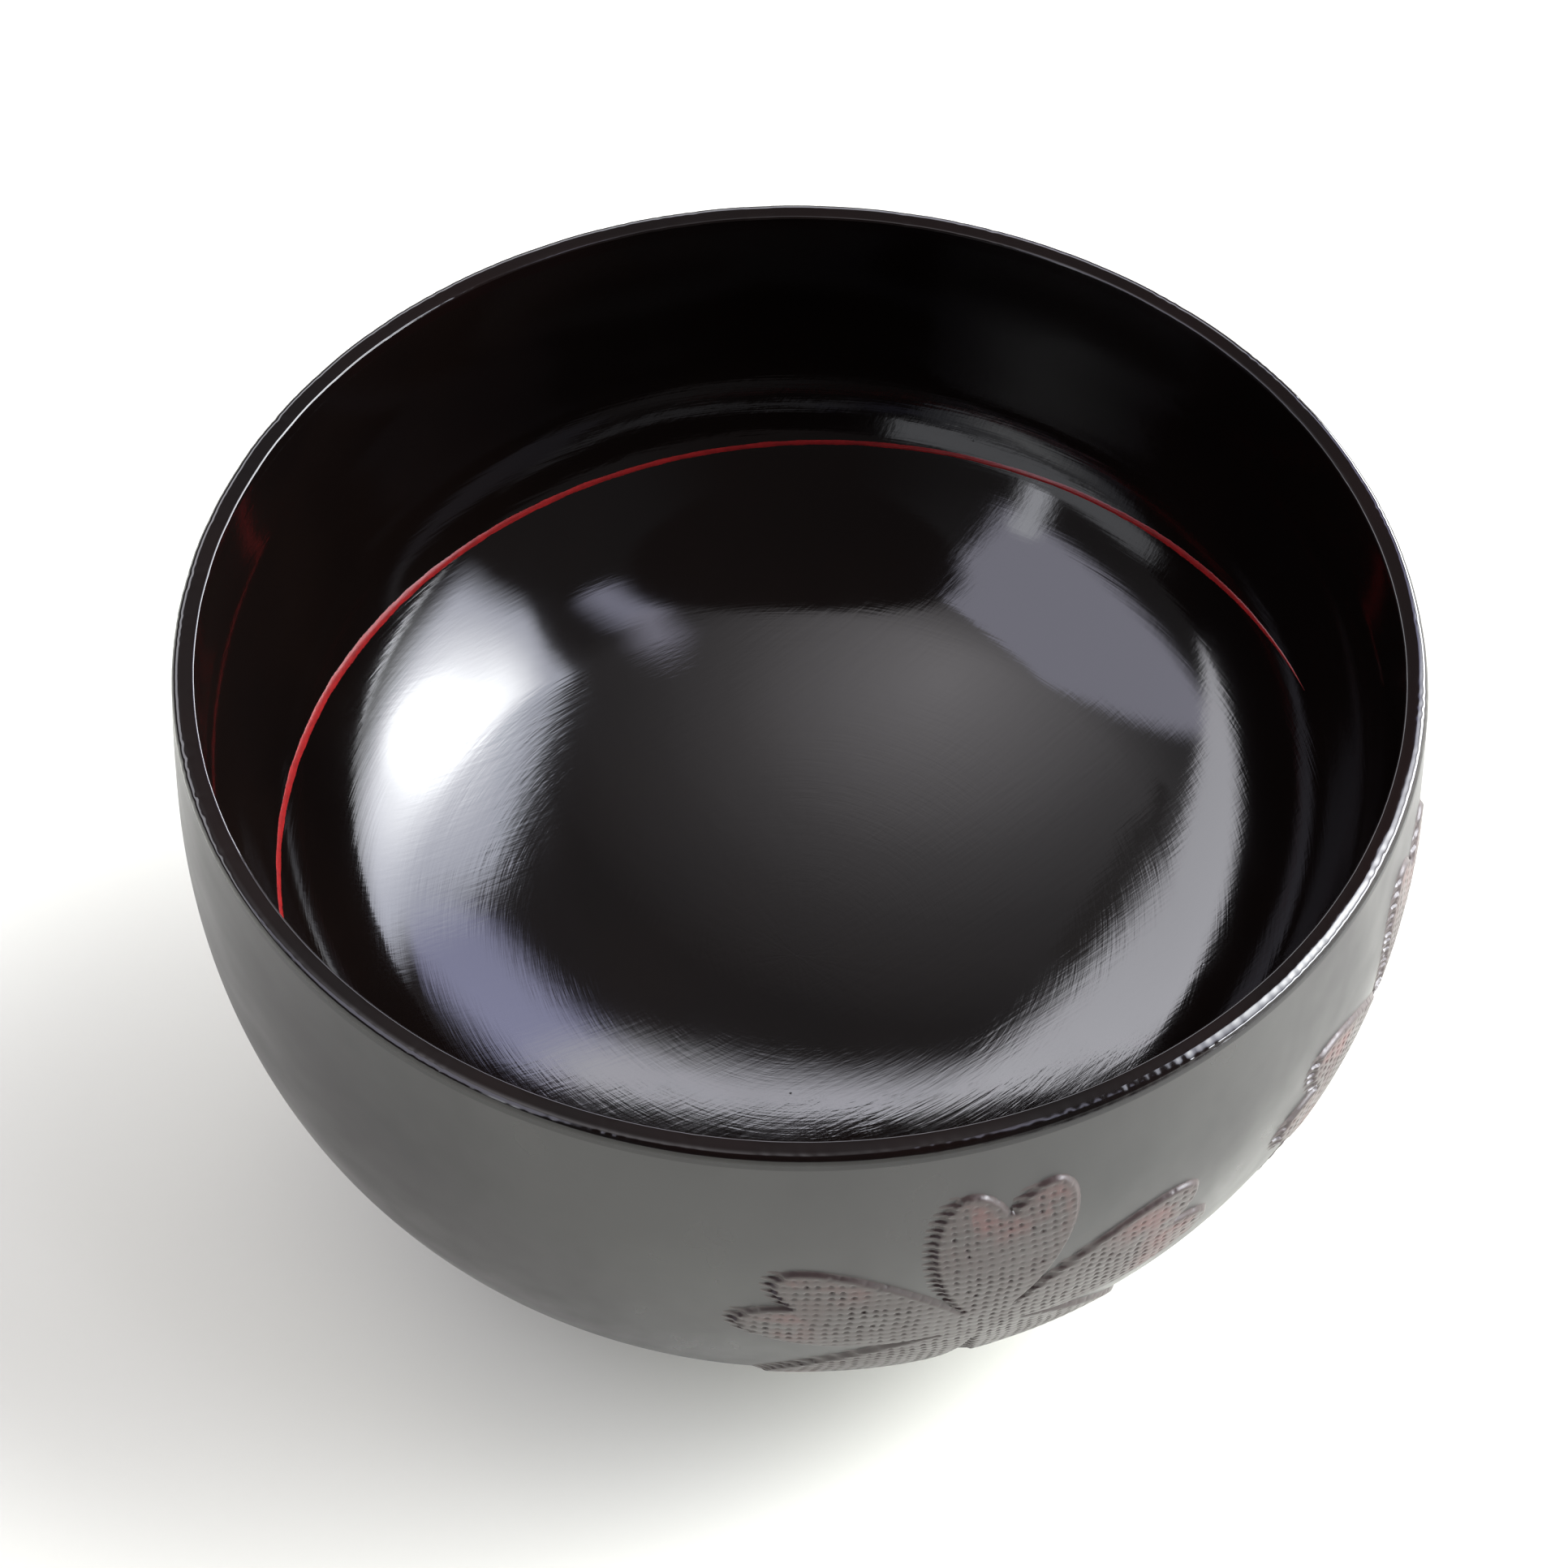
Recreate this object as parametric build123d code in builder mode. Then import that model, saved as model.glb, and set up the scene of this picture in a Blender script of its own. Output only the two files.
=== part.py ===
"""Round-bellied lacquered soup bowl on a turned wooden core, with cloth blossoms on its wall.

Millimetres, +Z up.  The origin is the centre of the foot's resting ring.  The bowl is built
up in layers, as it is made: a turned core, hemp cloth glued over its rim, foot and well, the
black lacquer coats, two blossoms cut from coarse cloth, and one painted cinnabar line.
"""
from build123d import *
import os

# ---- driving dimensions -------------------------------------------------------------------
height = 66.0
rim_radius = 59.7            # outer edge of the rim
rim_width = 2.2              # flat land between the two edges of the rim
rim_edge = 0.5               # rounding of both rim edges
belly_radius = 60.0          # widest radius of the wall
belly_z = 53.0               # height of the widest radius
belly_drop = 24.8            # how far the wall stays nearly upright below the widest radius
foot_radius = 30.0           # where the wall meets the foot ring
foot_height = 5.7
foot_flare = 18.6            # reach and rise of the curve that leaves the foot
foot_rise = 5.1
foot_inset_share = 0.3       # share of a coat's thickness that the wall loses sideways at the foot
foot_base_radius = 28.8      # outer radius of the resting ring
foot_ring_width = 3.2
recess_radius = 25.0         # hollow inside the foot ring, at its ceiling
recess_height = 6.6          # ceiling of that hollow
well_depth = 47.0            # rim to the bottom of the inside
well_curve = 105.0           # radius of the shallow curve of the well
shoulder_curve = 30.5        # radius of the curve from the well into the upright wall

lacquer = 0.40               # ground coat and lacquer coats together
cloth = 0.25                 # hemp reinforcement under the lacquer
rim_cloth_depth = 7.0        # how far the rim cloth reaches down both faces
rim_coat_depth = 1.6         # height of the extra coat on the rim
foot_zone_height = 7.4       # foot cloth and foot coat end here
well_cloth_radius = 24.0
well_cloth_floor = 8.2       # below the well cloth and above the hollow of the foot
foot_cloth_radius = 34.65    # the foot cloth and coat stay inside this radius
inside_coat_reach = 1.0      # deeper than the coat on the inside, and well short of the outside

line_height = 37.9           # mean height of the painted line above the resting face
line_tilt = 2.2              # degrees, higher towards +X
line_width = 0.55
line_thickness = 0.10
line_start = 20.0            # the brush leaves the wall at this angle from +X ...
line_sweep = 280.0           # ... having gone round this far

blossom_raise = 0.45         # how far the lacquered cloth stands out from the wall
blossom_place = 0.31         # their centres, as a share of the way from the widest radius to the foot
blossom_reach = 12.0         # depth of the cutting shape, enough for the wall's curve
petal_count = 5
petal_side_reach = 19.0      # from the blossom's centre to the widest part of a petal
petal_half_width = 7.1
petal_notch_reach = 20.2
petal_root_reach = 4.0       # control points of the petal's side and of its lobe
petal_root_width = 4.2
petal_full_reach = 12.2
petal_full_width = 7.9
petal_lobe_reach = 23.6
petal_lobe_width = 6.6
petal_tip_reach = 25.6
petal_tip_width = 3.2
first_petal_angle = 86.0     # the upper petal leans slightly
centre_disc_radius = 4.8
blossom_azimuths = {"blossom_front": -72.0, "blossom_side": -16.0}

margin = 20.0                # spare length of cutting shapes
inner_radius = rim_radius - rim_width
well_centre_z = height - well_depth + well_curve
shoulder_sine = (inner_radius - shoulder_curve) / (well_curve - shoulder_curve)
shoulder_cosine = (1.0 - shoulder_sine ** 2) ** 0.5
shoulder_drop = (well_curve - shoulder_curve) * shoulder_cosine
shoulder_centre = (inner_radius - shoulder_curve, well_centre_z - shoulder_drop)


# ---- outlines, each drawn in the X-Z half plane -------------------------------------------
def draw_inside(inset):
    """Axis to rim along the inside; inset moves it into the wall."""
    well_radius = well_curve + inset
    side_radius = shoulder_curve + inset
    centre_x, centre_z = shoulder_centre
    bottom = (0.0, well_centre_z - well_radius)
    joint = (well_radius * shoulder_sine, well_centre_z - well_radius * shoulder_cosine)
    upright = (centre_x + side_radius, centre_z)
    RadiusArc(bottom, joint, -well_radius)
    RadiusArc(joint, upright, -side_radius)
    rim = (upright[0], height - max(inset, 0.0))
    Line(upright, rim)
    return bottom, rim


def widest_point(inset):
    """Where the wall is widest."""
    return (belly_radius - inset, belly_z)


def foot_point(inset):
    """Where the wall meets the foot ring."""
    return (foot_radius - inset * foot_inset_share, foot_height + inset)


def draw_belly(inset):
    """The wall from its widest radius down to the foot."""
    widest = widest_point(inset)
    foot = foot_point(inset)
    upright_end = (widest[0], belly_z - belly_drop)
    foot_curve = (foot[0] + foot_flare, foot[1] + foot_rise)
    return Bezier(widest, upright_end, foot_curve, foot)


def draw_outside(inset):
    """Rim to foot along the outside; inset moves it into the wall."""
    top = (rim_radius - inset, height - max(inset, 0.0))
    widest = widest_point(inset)
    Bezier(top, (widest[0], (height + belly_z) / 2), widest)
    draw_belly(inset)
    return top, foot_point(inset)


def draw_foot(inset, foot):
    """Foot ring and the hollow under it, from the wall to the axis."""
    outer_base = (foot_base_radius - inset, inset)
    inner_base = (foot_base_radius - foot_ring_width + inset, inset)
    recess_edge = (recess_radius + inset, recess_height + inset)
    centre = (0.0, recess_height + inset)
    Line(foot, outer_base)
    Line(outer_base, inner_base)
    Line(inner_base, recess_edge)
    Line(recess_edge, centre)
    return centre


def draw_bowl(inset):
    """Closed half section of the whole bowl, inset on every side."""
    bottom, rim_inner = draw_inside(inset)
    rim_outer, foot = draw_outside(inset)
    Line(rim_inner, rim_outer)
    centre = draw_foot(inset, foot)
    Line(centre, bottom)


def draw_filled(inset):
    """Closed half section of the outside shape with no hollow."""
    top, foot = draw_outside(inset)
    Line((0.0, top[1]), top)
    Line(foot, (0.0, foot[1]))
    Line((0.0, foot[1]), (0.0, top[1]))


def draw_cavity(inset):
    """Closed half section of the space inside, grown into the wall by inset."""
    bottom, rim = draw_inside(inset)
    Line(rim, (rim[0], height + margin))
    Line((rim[0], height + margin), (0.0, height + margin))
    Line((0.0, height + margin), bottom)


def section_of(draw, inset, rim_round=0.0):
    """One outline as a face."""
    with BuildSketch(Plane.XZ) as face:
        with BuildLine():
            draw(inset)
        make_face()
        if rim_round:
            rim_corners = face.vertices().group_by(Axis.Y)[-1]
            fillet(rim_corners, rim_round)
    return face.sketch


def band(low, high, outer):
    """A rectangle from the axis outwards, between two heights."""
    with BuildSketch(Plane.XZ) as zone:
        with Locations((outer / 2, (low + high) / 2)):
            Rectangle(outer, high - low)
    return zone.sketch


bowl_section = section_of(draw_bowl, 0.0, rim_edge)
under_lacquer = section_of(draw_bowl, lacquer)
under_cloth = section_of(draw_bowl, lacquer + cloth)
inside_zone = section_of(draw_cavity, inside_coat_reach)
full_width = belly_radius + margin
rim_band = band(height - rim_cloth_depth, height + margin, full_width)
rim_coat_band = band(height - rim_coat_depth, height + margin, full_width)
foot_band = band(-margin, foot_zone_height, full_width)
foot_core_band = band(-margin, foot_zone_height, foot_cloth_radius)
well_band = band(well_cloth_floor, height, well_cloth_radius)


def turned(name, keep, remove=(), within=None):
    """Revolve a section: keep, less every face in remove, limited to within."""
    with BuildPart() as piece:
        with BuildSketch(Plane.XZ):
            add(keep)
            for face in remove:
                add(face, mode=Mode.SUBTRACT)
            if within is not None:
                add(within, mode=Mode.INTERSECT)
        revolve(axis=Axis.Z)
    piece.part.label = name
    return piece.part


def painted_line(name):
    """A brushed line on the inside, in a plane tilted a little, open where the brush lifted."""
    tilted = Plane(origin=(0, 0, line_height), x_dir=(1, 0, 0)).rotated((0, -line_tilt, 0))
    with BuildPart() as line:
        with BuildSketch(Plane.XZ):
            add(section_of(draw_cavity, 0.0))
            add(section_of(draw_cavity, -line_thickness), mode=Mode.SUBTRACT)
        revolve(axis=Axis.Z)
        with BuildSketch(tilted):
            with BuildLine():
                sweep = CenterArc((0, 0), rim_radius, line_start, line_sweep)
                Line((0, 0), sweep @ 0)
                Line(sweep @ 1, (0, 0))
            make_face()
        extrude(amount=line_width / 2, both=True, mode=Mode.INTERSECT)
    line.part.label = name
    return line.part


def draw_petal():
    """Half of one petal: a narrow root, a full side and a rounded lobe beside the notch."""
    side = (petal_side_reach, petal_half_width)
    notch = (petal_notch_reach, 0)
    Bezier((0, 0), (petal_root_reach, petal_root_width), (petal_full_reach, petal_full_width), side)
    Bezier(side, (petal_lobe_reach, petal_lobe_width), (petal_tip_reach, petal_tip_width), notch)
    Line(notch, (0, 0))


def cloth_blossom(name, azimuth):
    """A five-petalled blossom cut from one piece of cloth, bent round the wall."""
    with BuildLine(Plane.XZ, mode=Mode.PRIVATE):
        belly = draw_belly(0.0)
    place = belly @ blossom_place
    outward = (belly % blossom_place).cross(Vector(0, 1, 0))
    turn = Axis.Z
    plane = Plane(
        origin=place.rotate(turn, azimuth),
        x_dir=Vector(0, 1, 0).rotate(turn, azimuth),
        z_dir=outward.rotate(turn, azimuth),
    )
    with BuildPart() as blossom:
        with BuildSketch(plane):
            Circle(centre_disc_radius)
            with PolarLocations(0, petal_count, start_angle=first_petal_angle):
                add(petal_face)
        extrude(amount=blossom_reach, both=True)
        add(raised_layer, mode=Mode.INTERSECT)
    blossom.part.label = name
    return blossom.part


with BuildSketch() as petal:
    with BuildLine():
        draw_petal()
    make_face()
    mirror(about=Plane.XZ)
petal_face = petal.sketch

with BuildPart() as layer:
    with BuildSketch(Plane.XZ):
        add(section_of(draw_filled, -blossom_raise))
        add(section_of(draw_filled, 0.0), mode=Mode.SUBTRACT)
    revolve(axis=Axis.Z)
raised_layer = layer.part

with BuildSketch(Plane.XZ) as cloth_layer:
    add(under_lacquer)
    add(under_cloth, mode=Mode.SUBTRACT)
with BuildSketch(Plane.XZ) as cloth_zones:
    add(rim_band)
    add(foot_core_band)
    add(well_band)
with BuildSketch(Plane.XZ) as clothed_layer:
    add(cloth_layer.sketch)
    add(cloth_zones.sketch, mode=Mode.INTERSECT)
with BuildSketch(Plane.XZ) as lacquer_layer:
    add(bowl_section)
    add(under_lacquer, mode=Mode.SUBTRACT)

cloth_skin = cloth_layer.sketch
coats = lacquer_layer.sketch

# ---- the pieces, from the core outwards ---------------------------------------------------
pieces = [
    turned("wood_core", under_lacquer, remove=[clothed_layer.sketch]),
    turned("rim_cloth", cloth_skin, within=rim_band),
    turned("well_cloth", cloth_skin, within=well_band),
    turned("foot_cloth", cloth_skin, within=foot_core_band),
    turned("inner_lacquer", coats, remove=[rim_coat_band], within=inside_zone),
    turned("outer_lacquer", coats, remove=[inside_zone, rim_coat_band, foot_band]),
    turned("rim_lacquer", coats, within=rim_coat_band),
    turned("foot_lacquer", coats, within=foot_band),
    painted_line("red_line"),
]
for blossom_name, blossom_azimuth in blossom_azimuths.items():
    pieces.append(cloth_blossom(blossom_name, blossom_azimuth))

os.makedirs("parts", exist_ok=True)
for piece in pieces:
    export_step(piece, f"parts/{piece.label}.step")
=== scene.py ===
"""Looks of the lacquered soup bowl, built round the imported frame.

Metres, +Z up, the origin at the centre of the foot's resting ring.  The four visible lacquer
coats, the painted line and the two cloth blossoms are rebuilt here as fine meshes; the turned
core and the hemp cloth sealed inside stay as they are and only get materials.
"""
import math
import bpy
import numpy as np
from mathutils import Matrix, Vector


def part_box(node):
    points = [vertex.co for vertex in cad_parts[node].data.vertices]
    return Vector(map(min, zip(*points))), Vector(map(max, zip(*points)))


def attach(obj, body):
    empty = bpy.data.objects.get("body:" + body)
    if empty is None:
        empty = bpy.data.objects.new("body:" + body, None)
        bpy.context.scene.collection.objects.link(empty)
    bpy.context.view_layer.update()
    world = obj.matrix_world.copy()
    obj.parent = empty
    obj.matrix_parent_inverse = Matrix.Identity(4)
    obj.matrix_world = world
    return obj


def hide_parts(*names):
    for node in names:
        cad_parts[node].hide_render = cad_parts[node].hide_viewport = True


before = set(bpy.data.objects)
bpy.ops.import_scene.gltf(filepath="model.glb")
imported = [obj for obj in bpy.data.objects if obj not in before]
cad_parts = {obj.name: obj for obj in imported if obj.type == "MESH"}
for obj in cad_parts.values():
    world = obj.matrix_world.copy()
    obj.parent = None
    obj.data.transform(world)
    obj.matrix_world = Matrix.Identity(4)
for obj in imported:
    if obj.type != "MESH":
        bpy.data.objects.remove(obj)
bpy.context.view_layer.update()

MM = 0.001
MICRON = 1e-6
SEED = 7
SHARP_ANGLE = 40.0          # edges sharper than this many degrees stay crisp

# ---- sizes, in millimetres as in the CAD model, taken from its nodes where they say ----------
rim_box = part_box("rim_lacquer")
belly_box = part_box("outer_lacquer")
HEIGHT = rim_box[1].z / MM
RIM_RADIUS = 59.7
RIM_WIDTH = 2.2
BELLY_RADIUS = belly_box[1].x / MM
BELLY_Z = 53.0
BELLY_DROP = 24.8           # the lower wall's curve: its handle below the belly
FOOT_RADIUS = 30.0
FOOT_HEIGHT = 5.7
FOOT_FLARE = 18.6           # and its handle at the foot, outwards
FOOT_RISE = 5.1             # and upwards
FOOT_BASE_RADIUS = 28.8
FOOT_RING_WIDTH = 3.2
RECESS_RADIUS = 25.0
RECESS_HEIGHT = 6.6
WELL_DEPTH = 47.0
WELL_CURVE = 105.0          # radius of the shallow bottom's arc
SHOULDER_CURVE = 30.5       # radius of the arc between the bottom and the wall
LACQUER = 0.4
RIM_COAT_DEPTH = 1.6
FOOT_ZONE_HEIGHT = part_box("foot_lacquer")[1].z / MM

FOOT_INSET_SHARE = 0.3      # how much of an inset moves the foot's corner inwards
RIM_INNER_ROUND = 0.30      # the rim's inner edge is crisp
RIM_OUTER_ROUND = 0.9       # and its outer edge softer
RIM_LOW_SIDE = -38.0        # azimuth where the outer edge is lowest, in degrees
RIM_LOWERING = 0.22         # and by how much

INNER_RADIUS = RIM_RADIUS - RIM_WIDTH
WELL_CENTRE_Z = HEIGHT - WELL_DEPTH + WELL_CURVE
SHOULDER_SINE = (INNER_RADIUS - SHOULDER_CURVE) / (WELL_CURVE - SHOULDER_CURVE)
SHOULDER_COSINE = math.sqrt(1 - SHOULDER_SINE ** 2)
SHOULDER_R = INNER_RADIUS - SHOULDER_CURVE
SHOULDER_Z = WELL_CENTRE_Z - (WELL_CURVE - SHOULDER_CURVE) * SHOULDER_COSINE


# ---- profiles: rows of (radius, height) -----------------------------------------------------
def arc(centre, radius, start, end, count):
    """Points on an arc; the angles are measured from straight down, towards +radius."""
    angle = np.linspace(start, end, count)
    return np.c_[centre[0] + radius * np.sin(angle), centre[1] - radius * np.cos(angle)]


def bezier(points, count):
    """Points on the Bezier curve with these control points."""
    points = np.array(points, float)
    t = np.linspace(0, 1, count)
    degree = len(points) - 1
    weights = [math.comb(degree, i) * t ** i * (1 - t) ** (degree - i) for i in range(degree + 1)]
    return np.stack(weights, 1) @ points


def inside_profile(inset, top, fine=1.0):
    """Axis to rim along the inside, moved into the wall by inset, up to the height top."""
    joint = math.asin(SHOULDER_SINE)
    well = arc((0, WELL_CENTRE_Z), WELL_CURVE + inset, 0, joint, int(70 * fine))
    side = arc((SHOULDER_R, SHOULDER_Z), SHOULDER_CURVE + inset, joint, math.pi / 2, int(70 * fine))
    wall = np.c_[np.full(12, side[-1, 0]), np.linspace(SHOULDER_Z, top, 12)]
    return np.vstack([well, side[1:], wall[1:]])


def outside_profile(inset, top, bottom, fine=1.0):
    """Rim to foot along the outside, moved into the wall by inset, between two heights."""
    widest = (BELLY_RADIUS - inset, BELLY_Z)
    foot = (FOOT_RADIUS - inset * FOOT_INSET_SHARE, FOOT_HEIGHT + inset)
    upper_middle = (widest[0], (HEIGHT + BELLY_Z) / 2)
    upper = bezier([(RIM_RADIUS - inset, HEIGHT), upper_middle, widest], int(30 * fine))
    lower = bezier([widest, (widest[0], BELLY_Z - BELLY_DROP),
                    (foot[0] + FOOT_FLARE, foot[1] + FOOT_RISE), foot], int(140 * fine))
    line = np.vstack([upper, lower[1:]])
    keep = line[(line[:, 1] < top) & (line[:, 1] > bottom)]
    order = line[::-1]
    ends = [(np.interp(z, order[:, 1], order[:, 0]), z) for z in (top, bottom)]
    return np.vstack([ends[0], keep, ends[1]])


def rounded(corner, before, after, radius, count=8):
    """A fillet between two straight runs of a profile."""
    corner, before, after = (np.array(p, float) for p in (corner, before, after))
    a = (before - corner) / np.linalg.norm(before - corner)
    b = (after - corner) / np.linalg.norm(after - corner)
    return bezier([corner + a * radius, corner, corner + b * radius], count)


def revolve(name, profile, segments, closed, ripple=None):
    """A solid of revolution: a closed ring, or a profile whose two ends lie on the axis.

    A ripple moves a point outwards by half of itself, and down where it is negative.
    """
    profile = np.asarray(profile, float)
    angle = np.linspace(0, 2 * math.pi, segments, endpoint=False)
    ring = profile if closed else profile[1:-1]
    count = len(ring)
    lift = ripple(ring, angle) if ripple else np.zeros((count, segments))
    xyz = np.empty((count, segments, 3))
    xyz[..., 0] = (ring[:, :1] + lift * 0.5) * np.cos(angle)
    xyz[..., 1] = (ring[:, :1] + lift * 0.5) * np.sin(angle)
    xyz[..., 2] = ring[:, 1:] + np.minimum(lift, 0.0)
    verts = xyz.reshape(-1, 3)
    rows = np.arange(count if closed else count - 1)
    row, col = np.meshgrid(rows, np.arange(segments), indexing="ij")
    nxt_row = (row + 1) % count
    nxt_col = (col + 1) % segments
    quads = np.stack([row * segments + col, row * segments + nxt_col,
                      nxt_row * segments + nxt_col, nxt_row * segments + col], -1).reshape(-1, 4)
    faces = quads.tolist()
    if not closed:
        start, end = len(verts), len(verts) + 1
        verts = np.vstack([verts, [0, 0, profile[0, 1]], [0, 0, profile[-1, 1]]])
        last = (count - 1) * segments
        for i in range(segments):
            j = (i + 1) % segments
            faces.append([start, j, i])
            faces.append([end, last + i, last + j])
    return mesh_object(name, verts * MM, faces)


def mesh_object(name, verts, faces):
    """A new smooth-shaded object with its normals pointing out."""
    mesh = bpy.data.meshes.new(name)
    mesh.from_pydata(np.asarray(verts).tolist(), [], faces)
    mesh.validate()
    mesh.shade_smooth()
    mesh.set_sharp_from_angle(angle=math.radians(SHARP_ANGLE))
    thing = bpy.data.objects.new(name, mesh)
    bpy.context.scene.collection.objects.link(thing)
    if signed_volume(mesh) < 0:
        mesh.flip_normals()
    return thing


def signed_volume(mesh):
    """Positive where the faces look outwards."""
    mesh.calc_loop_triangles()
    points = np.empty(len(mesh.vertices) * 3)
    mesh.vertices.foreach_get("co", points)
    points = points.reshape(-1, 3)
    index = np.empty(len(mesh.loop_triangles) * 3, int)
    mesh.loop_triangles.foreach_get("vertices", index)
    a, b, c = (points[index.reshape(-1, 3)[:, i]] for i in range(3))
    return float(np.einsum("ij,ij->i", a, np.cross(b, c)).sum() / 6)


# ---- smooth repeatable noise for real geometry ----------------------------------------------
def wave_noise(x, seed, length, octaves=3):
    """Smooth noise on an angle x in radians that closes on itself; length is in radians."""
    rng = np.random.default_rng(seed)
    total = np.zeros_like(x)
    for octave in range(octaves):
        count = 14
        frequency = np.round(2 * math.pi / length * 2 ** octave * rng.uniform(0.6, 1.4, count))
        phase = rng.uniform(0, 2 * math.pi, count)
        for f, p in zip(frequency, phase):
            total += np.cos(x * f + p) * 0.5 ** octave / math.sqrt(count / 2)
    return total / 1.6


def smooth_step(value, low, high):
    """0 at low and 1 at high, which may be the smaller of the two."""
    t = np.clip((value - low) / (high - low), 0, 1)
    return t * t * (3 - 2 * t)


# ---- materials ------------------------------------------------------------------------------
OUTSIDE_BLACK = (0.0095, 0.0088, 0.0092, 1)
OUTSIDE_ROUGHNESS = 0.33
INSIDE_BLACK = (0.0014, 0.0009, 0.0008, 1)


class Kit:
    """An emptied node tree, with short names for the nodes that the materials share."""

    def __init__(self, tree):
        self.nodes, self.links = tree.nodes, tree.links
        self.nodes.clear()

    def put(self, kind, inputs=(), **settings):
        """A new node with these settings, its inputs linked or set by name or number."""
        node = self.nodes.new(kind)
        for key, value in settings.items():
            setattr(node, key, value)
        for key, value in dict(inputs).items():
            self.plug(node.inputs[key], value)
        return node

    def plug(self, socket, value):
        if isinstance(value, bpy.types.NodeSocket):
            self.links.new(value, socket)
        else:
            socket.default_value = value

    def place(self, scale, turn=(0, 0, 0)):
        """Object coordinates, turned and then scaled, in features per metre."""
        coords = self.put("ShaderNodeTexCoord").outputs["Object"]
        turned = self.put("ShaderNodeMapping", {"Vector": coords, "Rotation": turn}).outputs[0]
        return self.put("ShaderNodeMapping", {"Vector": turned, "Scale": scale}).outputs[0]

    def split(self, coords):
        """The x, y and z of some coordinates, and the vector of x and y alone."""
        parts = self.put("ShaderNodeSeparateXYZ", {0: coords}).outputs
        return parts, self.put("ShaderNodeCombineXYZ", {0: parts[0], 1: parts[1]}).outputs[0]

    def round_place(self, around, across):
        """Coordinates for marks that run round the bowl: around per radian, across per metre."""
        parts, flat = self.split(self.put("ShaderNodeTexCoord").outputs["Object"])
        run = self.math("ADD", self.vector("LENGTH", flat), parts[2])
        lift = self.put("ShaderNodeCombineXYZ", {2: self.math("MULTIPLY", run, across)}).outputs[0]
        ring = self.scaled(self.vector("NORMALIZE", flat), around)
        return self.vector("ADD", ring, lift)

    def scaled(self, vector, scale):
        inputs = {0: vector, "Scale": scale}
        return self.put("ShaderNodeVectorMath", inputs, operation="SCALE").outputs[0]

    def vector(self, operation, a, b=(0, 0, 0)):
        node = self.put("ShaderNodeVectorMath", {0: a, 1: b}, operation=operation)
        return node.outputs["Value" if operation in ("LENGTH", "DOT_PRODUCT") else "Vector"]

    def noise(self, vector, detail=2.0, rough=0.5):
        inputs = {"Vector": vector, "Scale": 1.0, "Detail": detail, "Roughness": rough}
        return self.put("ShaderNodeTexNoise", inputs).outputs[0]

    def ramp(self, value, low, high, to_low=0.0, to_high=1.0, shape="LINEAR"):
        """The value's place between low and high, as a number between to_low and to_high."""
        inputs = {"Value": value, "From Min": low, "From Max": high,
                  "To Min": to_low, "To Max": to_high}
        return self.put("ShaderNodeMapRange", inputs, interpolation_type=shape).outputs[0]

    def math(self, operation, a, b=0.0):
        return self.put("ShaderNodeMath", {0: a, 1: b}, operation=operation).outputs[0]

    def total(self, *values):
        result = values[0]
        for value in values[1:]:
            result = self.math("ADD", result, value)
        return result

    def mix(self, factor, a, b):
        """One colour a turning into colour b; sockets 6, 7 and 2 are the Mix node's colour ones."""
        return self.put("ShaderNodeMix", {0: factor, 6: a, 7: b}, data_type="RGBA").outputs[2]

    def bump(self, height, microns, normal=None):
        inputs = {"Height": height, "Distance": microns * MICRON, "Strength": 1.0}
        if normal is not None:
            inputs["Normal"] = normal
        return self.put("ShaderNodeBump", inputs).outputs[0]


def new_material(name, ior=1.5):
    material = bpy.data.materials.new(name)
    material.use_nodes = True
    kit = Kit(material.node_tree)
    shader = kit.put("ShaderNodeBsdfPrincipled", {"IOR": ior})
    kit.put("ShaderNodeOutputMaterial", {0: shader.outputs[0]})
    return material, kit, shader.inputs


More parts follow.
